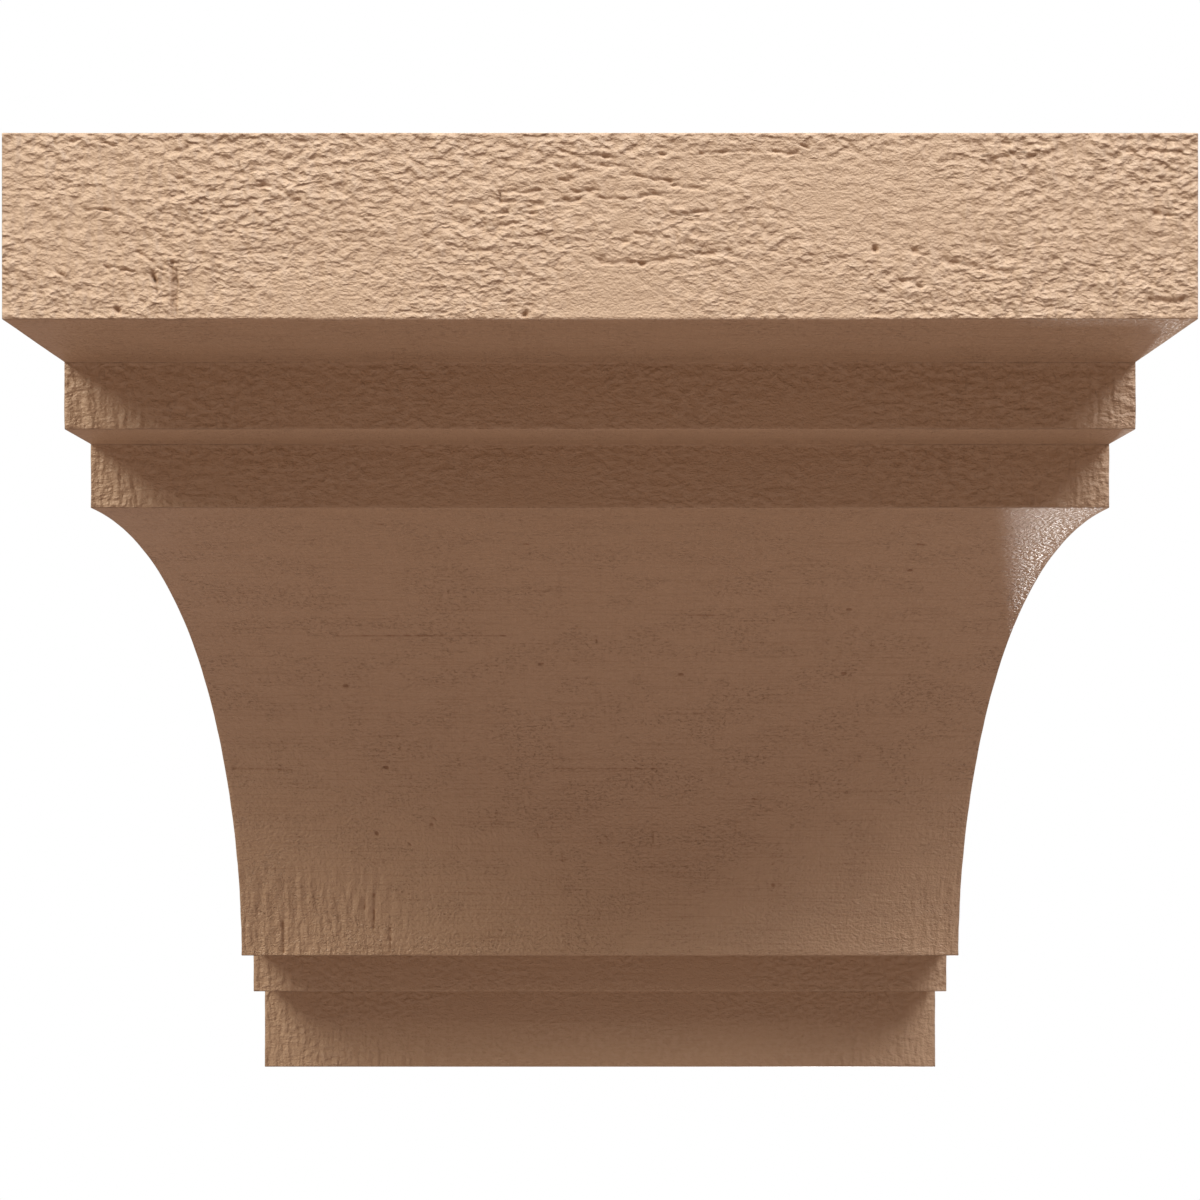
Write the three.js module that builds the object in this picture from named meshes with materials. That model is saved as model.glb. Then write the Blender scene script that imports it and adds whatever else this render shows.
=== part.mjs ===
// A corbel cast in rigid urethane foam, in one piece, with one profile from side to side:
// a deep cap over two bands, a long cove, and a thin sill over the foot.
// It is fastened by its back to a wall or post and carries a shelf, mantel, beam or eave on its cap.
// Millimetres, +Z up. The origin is the middle of the back, which lies in the plane y = 0,
// and the corbel stands out from the wall towards -Y.

import * as THREE from "three";

// Driving dimensions. A height is a member's own, and a reach is how far
// a member stands out beyond the one below it.
const WIDTH = 304.8;
const CAP_HEIGHT = 47.625;
const CAP_REACH = 38.1;
const UPPER_BAND_HEIGHT = 19.05;
const UPPER_BAND_REACH = 19.05;
const LOWER_BAND_HEIGHT = 19.05;
const COVE_HEIGHT = 161.925;
const COVE_REACH = 161.925;
const COVE_LIP_REACH = 19.05;
const SILL_HEIGHT = 19.05;
const SILL_REACH = 19.05;
const FOOT_HEIGHT = 38.1;
const FOOT_DEPTH = 47.625;

// The cove is one cubic curve, level under the lower band and upright at its lip.
// Each pull is how far the curve's handle lies from that end. The upper one is the
// longer, so the cove stays flat under the band and turns down late.
const COVE_UPPER_PULL = 102;
const COVE_LOWER_PULL = 67;
const COVE_FACETS = 72;

// How far each member's front stands out from the wall, from the foot up.
const sillDepth = FOOT_DEPTH + SILL_REACH;
const lipDepth = sillDepth + COVE_LIP_REACH;
const lowerBandDepth = lipDepth + COVE_REACH;
const upperBandDepth = lowerBandDepth + UPPER_BAND_REACH;
const capDepth = upperBandDepth + CAP_REACH;

// The level of each member's underside, from the foot up.
const height =
  FOOT_HEIGHT + SILL_HEIGHT + COVE_HEIGHT + LOWER_BAND_HEIGHT + UPPER_BAND_HEIGHT + CAP_HEIGHT;
const footBottom = -height / 2;
const sillBottom = footBottom + FOOT_HEIGHT;
const lipLevel = sillBottom + SILL_HEIGHT;
const lowerBandBottom = lipLevel + COVE_HEIGHT;
const upperBandBottom = lowerBandBottom + LOWER_BAND_HEIGHT;
const capBottom = upperBandBottom + UPPER_BAND_HEIGHT;
const capTop = capBottom + CAP_HEIGHT;

// The side outline, with the distance from the wall along the shape's X and the
// level along its Y, drawn anticlockwise from the foot of the back.
function sideOutline() {
  const outline = new THREE.Shape();
  outline.moveTo(0, footBottom);
  outline.lineTo(FOOT_DEPTH, footBottom);
  outline.lineTo(FOOT_DEPTH, sillBottom);
  outline.lineTo(sillDepth, sillBottom);
  outline.lineTo(sillDepth, lipLevel);
  outline.lineTo(lipDepth, lipLevel);
  outline.bezierCurveTo(
    lipDepth,
    lipLevel + COVE_LOWER_PULL,
    lowerBandDepth - COVE_UPPER_PULL,
    lowerBandBottom,
    lowerBandDepth,
    lowerBandBottom,
  );
  outline.lineTo(lowerBandDepth, upperBandBottom);
  outline.lineTo(upperBandDepth, upperBandBottom);
  outline.lineTo(upperBandDepth, capBottom);
  outline.lineTo(capDepth, capBottom);
  outline.lineTo(capDepth, capTop);
  outline.lineTo(0, capTop);
  outline.closePath();
  return outline;
}

// The solid body: the side outline run from one side of the corbel to the other.
function castingGeometry() {
  const casting = new THREE.ExtrudeGeometry(sideOutline(), {
    depth: WIDTH,
    bevelEnabled: false,
    curveSegments: COVE_FACETS,
  });
  casting.translate(0, 0, -WIDTH / 2);
  // The outline's X becomes -Y, its Y becomes Z, and the run becomes -X.
  const outOfWall = new THREE.Vector3(0, -1, 0);
  const up = new THREE.Vector3(0, 0, 1);
  const across = new THREE.Vector3(-1, 0, 0);
  return casting.applyMatrix4(new THREE.Matrix4().makeBasis(outOfWall, up, across));
}

// Tan factory primer on the foam's dense moulded skin.
function primedUrethane() {
  return new THREE.MeshStandardMaterial({
    name: "primed_urethane",
    color: 0xc5a88c,
    roughness: 0.7,
    metalness: 0,
  });
}

const casting = new THREE.Mesh(castingGeometry(), primedUrethane());
casting.name = "corbel_casting";

const corbel = new THREE.Group();
corbel.name = "corbel";
corbel.add(casting);

export default corbel;
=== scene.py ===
import logging
import math
from bisect import bisect_right
from dataclasses import dataclass, field
from enum import Enum
from itertools import product
from typing import Callable, Iterable, Iterator, NamedTuple

import bmesh
import bpy
from bmesh.types import BMEdge, BMesh, BMVert
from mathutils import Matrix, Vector, noise


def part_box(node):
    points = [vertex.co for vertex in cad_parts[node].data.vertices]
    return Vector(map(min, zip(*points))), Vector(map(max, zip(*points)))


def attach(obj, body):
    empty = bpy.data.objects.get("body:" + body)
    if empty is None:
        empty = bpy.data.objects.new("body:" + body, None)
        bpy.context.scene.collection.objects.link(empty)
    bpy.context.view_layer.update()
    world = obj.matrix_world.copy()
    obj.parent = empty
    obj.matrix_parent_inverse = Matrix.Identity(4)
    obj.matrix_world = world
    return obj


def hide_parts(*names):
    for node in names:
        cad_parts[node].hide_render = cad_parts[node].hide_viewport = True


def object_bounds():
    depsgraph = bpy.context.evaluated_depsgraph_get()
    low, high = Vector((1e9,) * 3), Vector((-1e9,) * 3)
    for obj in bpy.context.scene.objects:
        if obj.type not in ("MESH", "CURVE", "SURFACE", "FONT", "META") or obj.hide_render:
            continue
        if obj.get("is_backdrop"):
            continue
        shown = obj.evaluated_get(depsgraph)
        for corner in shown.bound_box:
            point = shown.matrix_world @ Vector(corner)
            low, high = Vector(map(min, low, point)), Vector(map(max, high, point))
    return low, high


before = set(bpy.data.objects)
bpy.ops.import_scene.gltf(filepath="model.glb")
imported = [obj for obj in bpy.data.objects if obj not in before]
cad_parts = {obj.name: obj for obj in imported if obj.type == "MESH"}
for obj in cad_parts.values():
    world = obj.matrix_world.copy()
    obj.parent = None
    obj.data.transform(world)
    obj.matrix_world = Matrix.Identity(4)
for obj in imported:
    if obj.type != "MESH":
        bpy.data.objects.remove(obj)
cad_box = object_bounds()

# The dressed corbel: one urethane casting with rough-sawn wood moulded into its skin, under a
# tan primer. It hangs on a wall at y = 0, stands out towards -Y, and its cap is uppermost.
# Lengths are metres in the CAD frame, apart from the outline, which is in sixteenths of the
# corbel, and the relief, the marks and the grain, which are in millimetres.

log = logging.getLogger("corbel")

MM = 0.001
MID_NOISE = 0.5
NODE = "corbel_casting"
BODY = "root"
NOISE_SEED = 5

Pair = tuple[float, float]
Range = tuple[float, float]
Triple = tuple[float, float, float]
Colour = tuple[float, float, float, float]


def clamped(value: float, low: float = 0.0, high: float = 1.0) -> float:
    """The value, or the limit that it is past."""
    return max(low, min(high, value))


def placed(name: str, data: bpy.types.ID) -> bpy.types.Object:
    """Makes an object and puts it in the scene, at the origin."""
    thing = bpy.data.objects.new(name, data)
    bpy.context.scene.collection.objects.link(thing)
    return thing


def meshed(name: str, bm: BMesh) -> bpy.types.Object:
    """Makes an object of a mesh, and frees what the mesh was built in."""
    mesh = bpy.data.meshes.new(name)
    bm.to_mesh(mesh)
    bm.free()
    return placed(name, mesh)


class Zone(Enum):
    """The parts of the casting's surface, which the saw and the mould left in different states."""

    BACK = 1
    FOOT_BOTTOM = 2
    FOOT_FRONT = 3
    SILL_UNDERSIDE = 4
    SILL_FRONT = 5
    LIP_UNDERSIDE = 6
    COVE = 7
    LOWER_BAND_FRONT = 8
    BAND_UNDERSIDE = 9
    UPPER_BAND_FRONT = 10
    CAP_UNDERSIDE = 11
    CAP_FRONT = 12
    TOP = 13
    SIDE = 14


class Spot(NamedTuple):
    """A point of the casting's surface.

    Attributes:
        zone: The part of the surface that it is on.
        along: Its place along the grain from the corbel's middle, in millimetres.
        down: Its way down from the zone's upper or outer edge, in millimetres.
    """

    zone: Zone
    along: float
    down: float


@dataclass(frozen=True)
class Stretch:
    """One stretch of the side outline, from the end of the one before it.

    Attributes:
        zone: The part of the surface that it draws.
        depth: How far its end stands out from the wall, in sixteenths of the corbel.
        level: How high its end is above the foot, in sixteenths.
        rows: How many rows of faces it is made of.
        pulls: For a curve, how far its two handles lie from its ends, in sixteenths.
    """

    zone: Zone
    depth: float
    level: float
    rows: int
    pulls: Pair | None = None


SIXTEENTHS = 16
SIXTEENTH_MM = 19.05
COVE_PULLS = (67 / SIXTEENTH_MM, 102 / SIXTEENTH_MM)
OUTLINE = (
    Stretch(Zone.FOOT_BOTTOM, 2.5, 0.0, 10),
    Stretch(Zone.FOOT_FRONT, 2.5, 2.0, 15),
    Stretch(Zone.SILL_UNDERSIDE, 3.5, 2.0, 7),
    Stretch(Zone.SILL_FRONT, 3.5, 3.0, 9),
    Stretch(Zone.LIP_UNDERSIDE, 4.5, 3.0, 7),
    Stretch(Zone.COVE, 13.0, 11.5, 90, COVE_PULLS),
    Stretch(Zone.LOWER_BAND_FRONT, 13.0, 12.5, 9),
    Stretch(Zone.BAND_UNDERSIDE, 14.0, 12.5, 7),
    Stretch(Zone.UPPER_BAND_FRONT, 14.0, 13.5, 9),
    Stretch(Zone.CAP_UNDERSIDE, 16.0, 13.5, 9),
    Stretch(Zone.CAP_FRONT, 16.0, 16.0, 25),
    Stretch(Zone.TOP, 0.0, 16.0, 26),
    Stretch(Zone.BACK, 0.0, 0.0, 1),
)


@dataclass(frozen=True)
class Relief:
    """How deeply one part of the surface is sawn and torn, in millimetres.

    Attributes:
        flakes: Height of the torn flakes that lie along the grain.
        swell: Height of the slow waves that the saw left.
        kerfs: Height of the upright ridges between the saw's strokes.
        torn: How rough the fine grain is, from 0, smooth, to 1.
        combed: How clear the fine level lines are, from 0 to 1.
    """

    flakes: float
    swell: float
    kerfs: float
    torn: float
    combed: float


RELIEFS = {
    Zone.BACK: Relief(0.0, 0.0, 0.0, 0.25, 0.2),
    Zone.FOOT_BOTTOM: Relief(0.05, 0.05, 0.0, 0.4, 0.5),
    Zone.FOOT_FRONT: Relief(0.15, 0.08, 0.16, 0.6, 0.3),
    Zone.SILL_UNDERSIDE: Relief(0.04, 0.03, 0.0, 0.3, 0.5),
    Zone.SILL_FRONT: Relief(0.16, 0.08, 0.16, 0.6, 0.3),
    Zone.LIP_UNDERSIDE: Relief(0.04, 0.03, 0.0, 0.3, 0.5),
    Zone.COVE: Relief(0.05, 0.05, 0.32, 0.30, 1.0),
    Zone.LOWER_BAND_FRONT: Relief(0.16, 0.08, 0.14, 0.6, 0.3),
    Zone.BAND_UNDERSIDE: Relief(0.04, 0.03, 0.0, 0.25, 0.7),
    Zone.UPPER_BAND_FRONT: Relief(0.18, 0.08, 0.14, 0.65, 0.3),
    Zone.CAP_UNDERSIDE: Relief(0.04, 0.04, 0.0, 0.25, 0.9),
    Zone.CAP_FRONT: Relief(0.29, 0.12, 0.04, 1.0, 0.0),
    Zone.TOP: Relief(0.06, 0.12, 0.0, 0.8, 0.1),
    Zone.SIDE: Relief(0.08, 0.16, 0.0, 0.9, 0.1),
}


class ScarKind(Enum):
    """The marks that are placed one by one."""

    LEDGE = "ledge"
    CRACK = "crack"
    PIT = "pit"
    SMOOTH = "smooth"


@dataclass(frozen=True)
class Scar:
    """One mark in the surface.

    Attributes:
        kind: What sort of mark it is.
        zone: The part of the surface that it is on.
        start: Its left or upper end: along the grain from the corbel's middle, and down from
            the upper edge of the zone, in millimetres.
        end: Its other end.
        depth: How deep it is, in millimetres, or for a smooth mark the share of the torn
            grain that it takes away.
        width: How wide it is, in millimetres.
        REACH: How far from its line a mark is felt, in widths.
        BRINK: How far a ledge reaches above its line, in widths.
        SLOPE: How far it reaches below, where its floor rises again.
        LIP: How high the raised lip under a ledge is, as a share of its depth.
        LIP_GAP: How far the lip lies under the ledge's line, in widths.
        LIP_SHARPNESS: How narrow the lip is.
        CORE: How wide the core of a crack or pit is, in widths.
    """

    kind: ScarKind
    zone: Zone
    start: Pair
    end: Pair
    depth: float
    width: float

    REACH = 2.5
    BRINK = 0.45
    SLOPE = 1.3
    LIP = 0.3
    LIP_GAP = 1.9
    LIP_SHARPNESS = 4
    CORE = 0.6

    def distance(self, spot: Spot) -> Pair:
        """How far a point lies from the mark, and on which side.

        Args:
            spot: The point.

        Returns:
            The distance to the mark's line, and how far the point lies below that line.
        """
        run, fall = self.end[0] - self.start[0], self.end[1] - self.start[1]
        length = math.hypot(run, fall) or 1e-9
        across, below = spot.along - self.start[0], spot.down - self.start[1]
        share = clamped((across * run + below * fall) / length**2)
        near_u, near_v = self.start[0] + share * run, self.start[1] + share * fall
        return math.hypot(spot.along - near_u, spot.down - near_v), spot.down - near_v

    def sunk(self, spot: Spot) -> float:
        """How deep the mark is at a point.

        Args:
            spot: The point.

        Returns:
            The depth in millimetres: less than 0 on a ledge's raised lip.
        """
        if self.kind is ScarKind.SMOOTH:
            return 0.0
        apart, below = self.distance(spot)
        if apart > self.REACH * self.width:
            return 0.0
        if self.kind is not ScarKind.LEDGE:
            return self.depth * math.exp(-((apart / (self.CORE * self.width)) ** 2))
        floor = math.exp(-((apart / (self.width * (self.BRINK if below < 0 else self.SLOPE))) ** 2))
        from_lip = apart / self.width - self.LIP_GAP
        lip = self.LIP * math.exp(-(from_lip**2) * self.LIP_SHARPNESS) if below > 0 else 0.0
        return self.depth * (floor - lip)


def dots(*places: Pair) -> tuple[tuple[float, ...], ...]:
    """Marks that end where they start."""
    return tuple(place + place for place in places)


# Where the marks lie on the cap's front: for one end and then the other, the place along the
# grain from the middle and the way down from the upper edge, in millimetres.
CAP_LEDGES = (
    (-139, 34.5, -136, 37), (-135, 2, -132.5, 1.5), (-130.5, 19.5, -126, 19.5),
    (-126, 19.5, -122.5, 21), (-127, 2.5, -123.5, 3), (-126, 34, -119, 35), (-118, 30, -109.5, 36),
    (-107.5, 4.5, -105, 3.5), (-108, 11.5, -104.5, 10.5), (-94.5, 8.5, -92, 8.5), (-92, 7.5, -91, 10.5),
    (-89.5, 10, -85.5, 9.5), (-92, 14, -84, 13.5), (-84, 16.5, -76.5, 17), (-24.5, 15, -15.5, 14.5),
    (-25, 17.5, -19.5, 17.5), (-18.5, 17.5, -14.5, 18.5), (-26, 20.5, -23.5, 20.5),
    (-20.5, 20, -17, 20.5), (-25.5, 23, -20.5, 23), (-11.5, 8.5, -9.5, 9.5), (-10.5, 11.5, -7, 11.5),
    (-11.5, 17.5, -5.5, 17), (-9.5, 4.5, -6.5, 5.5), (-8.5, 9, -6, 9), (-7.5, 14.5, 0, 14.5),
    (-5.5, 5, -4, 4), (0, 8.5, 3.5, 8.5), (1, 5.5, 3.5, 6.5), (0, 16.5, 6.5, 16.5),
    (5.5, 10.5, 11.5, 11), (5.5, 27.5, 7.5, 27), (9.5, 25.5, 12.5, 26), (10, 16, 15, 15.5),
    (12.5, 11.5, 18, 12), (15, 5, 16.5, 5.5), (18, 13, 26.5, 14.5), (18.5, 20.5, 27, 20),
    (25.5, 5, 39.5, 4.5), (26, 12, 28.5, 12), (43.5, 4.5, 50.5, 5), (51, 3, 53, 3.5),
    (75.5, 37.5, 79, 37.5), (79.5, 30, 84, 31), (80.5, 38.5, 82, 39), (98, 6, 103.5, 6),
    (103, 2.5, 104, 3), (104.5, 5, 110.5, 5.5), (111.5, 2.5, 113, 3), (134, 5, 136.5, 5),
    (140, 4.5, 148, 5), (141, 20.5, 147.5, 21),
)
CAP_LONG_LEDGES = (
    (0, 32.5, 11, 33), (11, 33, 25.5, 30.5), (25.5, 30.5, 33, 30), (88, 32.5, 104.5, 35.5),
    (140, 42.5, 148, 42.5),
)
CAP_CRACKS = (
    (-109, 33, -109, 47), (-108, 35, -108, 47), (-114, 35.5, -113, 40.5), (-25.5, 15.5, -25.5, 17.5),
)
CAP_PITS = dots((-123, 45), (-113.5, 37.5), (-19, 46.5), (70, 29.5), (148.5, 42.5))

# Small spots on the cap's front that are planed smooth, and broad strokes where it is calmer.
CAP_PLANED = dots((-127, 26), (-102, 39), (6.5, 23), (56, 17.5), (121, 5))
CAP_CALM = (
    (43, 12, 104, 15), (52, 21, 98, 22), (116, 12, 150, 30), (2, 41.5, 42, 39), (42, 39, 62, 41.5),
    (-148, 8, -140, 30),
)

# Where the marks lie on the cove, with the way down from its upper edge along the curve.
COVE_DASHES = (
    (-70, 22, -69, 22), (-25, 40.5, -24, 40.5), (105, 40.5, 107, 41), (106.5, 60, 107, 60),
    (89.5, 85, 90.5, 85), (-23, 115.5, -22, 115.5), (93, 120.5, 94, 120.5), (30.5, 121, 31.5, 121),
    (-99, 127, -98, 127), (-87.5, 167.5, -86.5, 167.5),
)
COVE_HAIRLINES = (
    (-97.5, 100, -35, 100), (32.5, 88.5, 42, 88.5), (-149, 168, -125, 168.5), (-19.5, 168, 26, 168),
    (-95.5, 226, -96, 241), (-99.5, 228.5, -99.5, 232.5), (-89, 241, -89, 251),
    (-150.5, 241, -150.5, 245.5), (-134.5, 237.5, -134.5, 251),
)
COVE_SCUFFS = (
    (-80.5, 202.5, -79, 204), (-69.5, 190.5, -68, 192.5), (-60, 204, -58.5, 206.5),
    (-26.5, 198, -25.5, 200), (-16, 206.5, -16, 211), (-16, 211, -13, 210), (-0.5, 202.5, 1.5, 203.5),
    (2, 199, 3.5, 201), (4, 207.5, 5, 209), (8.5, 203, 10, 202.5), (22, 197.5, 22, 203),
    (54, 168.5, 55.5, 167), (62.5, 182.5, 65.5, 182.5), (71.5, 174.5, 73, 176), (85.5, 174.5, 89, 174),
    (-71.5, 102, -70, 103.5), (-85, 102.5, -81.5, 102), (-1.5, 102, -1, 105),
)
COVE_PITS = dots((73, 222), (-93, 198.5), (-70, 194.5))

# The kind of each list's marks, the part that they are on, and their depth and width.
MARK_LISTS = (
    (ScarKind.LEDGE, Zone.CAP_FRONT, CAP_LEDGES, 0.38, 0.55),
    (ScarKind.LEDGE, Zone.CAP_FRONT, CAP_LONG_LEDGES, 0.36, 0.8),
    (ScarKind.CRACK, Zone.CAP_FRONT, CAP_CRACKS, 0.75, 0.75),
    (ScarKind.CRACK, Zone.COVE, COVE_DASHES, 1.0, 1.0),
    (ScarKind.CRACK, Zone.COVE, COVE_HAIRLINES, 0.36, 1.0),
    (ScarKind.CRACK, Zone.COVE, COVE_SCUFFS, 0.32, 0.8),
    (ScarKind.SMOOTH, Zone.CAP_FRONT, CAP_CALM, 0.36, 6.5),
    (ScarKind.PIT, Zone.CAP_FRONT, CAP_PITS, 1.0, 1.4),
    (ScarKind.SMOOTH, Zone.CAP_FRONT, CAP_PLANED, 0.9, 3.6),
    (ScarKind.PIT, Zone.COVE, COVE_PITS, 1.0, 1.3),
)


def scars() -> Iterator[Scar]:
    """Lists every mark that is placed one by one.

    Yields:
        Each mark.
    """
    for kind, zone, places, depth, width in MARK_LISTS:
        for place in places:
            yield Scar(kind, zone, place[:2], place[2:], depth, width)


@dataclass(frozen=True)
class Blots:
    """One layer of the noise that shapes the modelled relief.

    Attributes:
        length: How long its blots are along the grain, in millimetres.
        width: How wide they are across it.
        key: What keeps this layer apart from the others.
        zone_step: How far apart its noise is on two zones.
    """

    length: float
    width: float
    key: float = 0.0
    zone_step: float = 7.3

    def at(self, spot: Spot) -> Vector:
        """The point to sample the noise at, measured in blots."""
        seed = self.zone_step * spot.zone.value
        return Vector((spot.along / self.length, spot.down / self.width, seed + self.key))


class SawnSurface:
    """Works out how far the moulded wood lies under the plain face, at any point of a zone.

    Attributes:
        CELL_MM: The size of the cells that the marks are sorted into.
        PATCH: Where the wood is more torn or more planed.
        PATCH_LAYERS: How much weaker and how much finer each further layer is, and how many
            there are.
        TORN: The least, the middle and the swing of the share that is torn.
        BEND, BEND_MM: What bends the flakes along and across the grain, and how far.
        BROAD, SMALL, SMALL_SHARE: The flakes, the smaller ones on them, and their height.
        OVERHANG_MM: How far a flake's crest leans down over its foot.
        SWELL: The slow waves.
        WANDER, WANDER_MM: What bends the saw's strokes, and how far.
        STROKE_MM: The pitch of the strokes.
        RIDGE, CHIP: What breaks the strokes up.
        STROKE_SHARES: How high the strokes, the ridges and the chips stand.
        FRAYED_MM: How far from the middle the strokes begin to stand out.
        FRAYED_COVE_MM: The same on the cove's right half.
        FRAYED_RUN_MM: How far it then is until they stand out fully.
        FRAYED_LOW_MM, FRAYED_LOW_RUN_MM: The same two lengths, down the cove.
        LEAST_FRAYED: How far they stand out in the middle of the other fronts.
        CREST_SHARE, KERF_SHARE: How much of the relief stands over the plain face before it
            is cut off there.
        SHAKE, SHAKE_MM: What bends the marks along and across the grain, and how far.
        STRAIGHT: How much of that bends a crack or a pit.
        RAGGED, RAGGED_DEPTH: What makes a mark deeper and shallower, and its least, middle
            and swing.
    """

    CELL_MM = 8.0
    PATCH = Blots(34, 17)
    PATCH_LAYERS = (0.9, 2.1, 2)
    TORN = (0.25, 0.72, 0.75)
    BEND = Blots(21, 12, 3)
    BEND_MM = (2.0, 1.6)
    BROAD = Blots(5.2, 2.6)
    SMALL = Blots(2.9, 1.6, 11)
    SMALL_SHARE = 0.6
    OVERHANG_MM = 0.9
    SWELL = Blots(23, 8, 5)
    WANDER = Blots(16, 22, 8)
    WANDER_MM = 5.0
    STROKE_MM = 5.1
    RIDGE = Blots(2.1, 9.0, 9)
    CHIP = Blots(2.6, 2.2, 10)
    STROKE_SHARES = (0.45, 0.8, 0.5)
    FRAYED_MM = 62
    FRAYED_COVE_MM = 104
    FRAYED_RUN_MM = 44
    FRAYED_LOW_MM = 203
    FRAYED_LOW_RUN_MM = 22
    LEAST_FRAYED = 0.15
    CREST_SHARE = 0.35
    KERF_SHARE = 0.5
    SHAKE = Blots(1.9, 1.6, 3, zone_step=0)
    SHAKE_MM = (0.5, 0.8)
    STRAIGHT = 0.3
    RAGGED = Blots(2.3, 2.3, 9, zone_step=0)
    RAGGED_DEPTH = (0.65, 0.75, 0.9)

    def __init__(self, marks: Iterable[Scar] = ()) -> None:
        """Sorts the marks by the part of the surface they are on and by where they lie on it.

        Args:
            marks: The marks that are placed one by one.
        """
        self.marks: dict[tuple[Zone, int, int], list[Scar]] = {}
        for mark in marks:
            reach = mark.REACH * mark.width
            cells = (
                range(int((min(pair) - reach) // self.CELL_MM),
                      int((max(pair) + reach) // self.CELL_MM) + 1)
                for pair in zip(mark.start, mark.end)
            )
            for column, row in product(*cells):
                self.marks.setdefault((mark.zone, column, row), []).append(mark)

    def near(self, spot: Spot) -> list[Scar]:
        """The marks that may reach a point."""
        cell = (spot.zone, int(spot.along // self.CELL_MM), int(spot.down // self.CELL_MM))
        return self.marks.get(cell, [])

    def marked(self, spot: Spot) -> float:
        """How deep the marks are at a point.

        Args:
            spot: The point.

        Returns:
            The depth in millimetres: less than 0 on a ledge's raised lip.
        """
        marks = self.near(spot)
        if not marks:
            return 0.0
        shake = noise.noise_vector(self.SHAKE.at(spot))
        least, middle, swing = self.RAGGED_DEPTH
        ragged = max(least, middle + swing * noise.noise(self.RAGGED.at(spot)))
        depth = 0.0
        for mark in marks:
            sway = 1.0 if mark.kind is ScarKind.LEDGE else self.STRAIGHT
            along = spot.along + self.SHAKE_MM[0] * sway * shake.x
            depth += mark.sunk(Spot(spot.zone, along, spot.down + self.SHAKE_MM[1] * sway * shake.y))
        return ragged * depth

    def torn(self, spot: Spot) -> float:
        """How torn the wood is at a point.

        Args:
            spot: The point.

        Returns:
            The share, from 0, planed smooth, to 1, ripped.
        """
        least, middle, swing = self.TORN
        patch = noise.fractal(self.PATCH.at(spot), *self.PATCH_LAYERS)
        share = clamped(middle + swing * patch, least)
        for mark in self.near(spot):
            if mark.kind is ScarKind.SMOOTH:
                apart, _ = mark.distance(spot)
                share *= 1 - mark.depth * math.exp(-((apart / mark.width) ** 4))
        return share

    def frayed(self, spot: Spot) -> float:
        """How far the saw's strokes stand out at a point: most at the ends.

        Args:
            spot: The point.

        Returns:
            The share, from 0 to 1.
        """
        zone, along, down = spot
        start = self.FRAYED_COVE_MM if zone is Zone.COVE and along > 0 else self.FRAYED_MM
        end = clamped((abs(along) - start) / self.FRAYED_RUN_MM)
        if zone is Zone.COVE:
            return end * clamped((down - self.FRAYED_LOW_MM) / self.FRAYED_LOW_RUN_MM)
        if not RELIEFS[zone].kerfs:
            return 0.0
        return self.LEAST_FRAYED + (1 - self.LEAST_FRAYED) * end

    def height(self, spot: Spot) -> float:
        """The relief at one point.

        Args:
            spot: The point.

        Returns:
            How far the skin lies under the plain face, in millimetres: 0 or more.
        """
        relief = RELIEFS[spot.zone]
        raised = 0.0
        if relief.flakes:
            raised += relief.flakes * self.torn(spot) * self._flakes(spot)
        if relief.swell:
            raised += relief.swell * noise.noise(self.SWELL.at(spot))
        kerfs = relief.kerfs * self.frayed(spot)
        if kerfs:
            raised += kerfs * self._kerfs(spot)
        floor = self.CREST_SHARE * relief.flakes + self.CREST_SHARE * relief.swell
        floor += self.KERF_SHARE * kerfs
        return max(0.0, floor - raised + self.marked(spot))

    def _flakes(self, spot: Spot) -> float:
        """The torn flakes: long along the grain, gentle on top and steep below.

        Args:
            spot: The point.

        Returns:
            A height of about -1 to 1.
        """
        bend = noise.noise_vector(self.BEND.at(spot))
        along = spot.along + self.BEND_MM[0] * bend.x
        down = spot.down + self.BEND_MM[1] * bend.y

        def wave(shift: float) -> float:
            """The flakes' height with the sample moved by a shift across the grain."""
            moved = Spot(spot.zone, along, down - shift)
            small = noise.noise(self.SMALL.at(moved))
            return noise.noise(self.BROAD.at(moved)) + self.SMALL_SHARE * small

        return wave(self.OVERHANG_MM * wave(0.0))

    def _kerfs(self, spot: Spot) -> float:
        """The upright ridges between the saw's strokes, broken up by the torn grain.

        Args:
            spot: The point.

        Returns:
            The height, from about -1 to 1.
        """
        wander = self.WANDER_MM * noise.noise(self.WANDER.at(spot))
        stroke = math.sin(math.tau * (spot.along + wander) / self.STROKE_MM)
        ridge = noise.noise(self.RIDGE.at(spot))
        chip = noise.noise(self.CHIP.at(spot))
        stroke_share, ridge_share, chip_share = self.STROKE_SHARES
        return stroke_share * stroke + ridge_share * ridge + chip_share * chip


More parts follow.
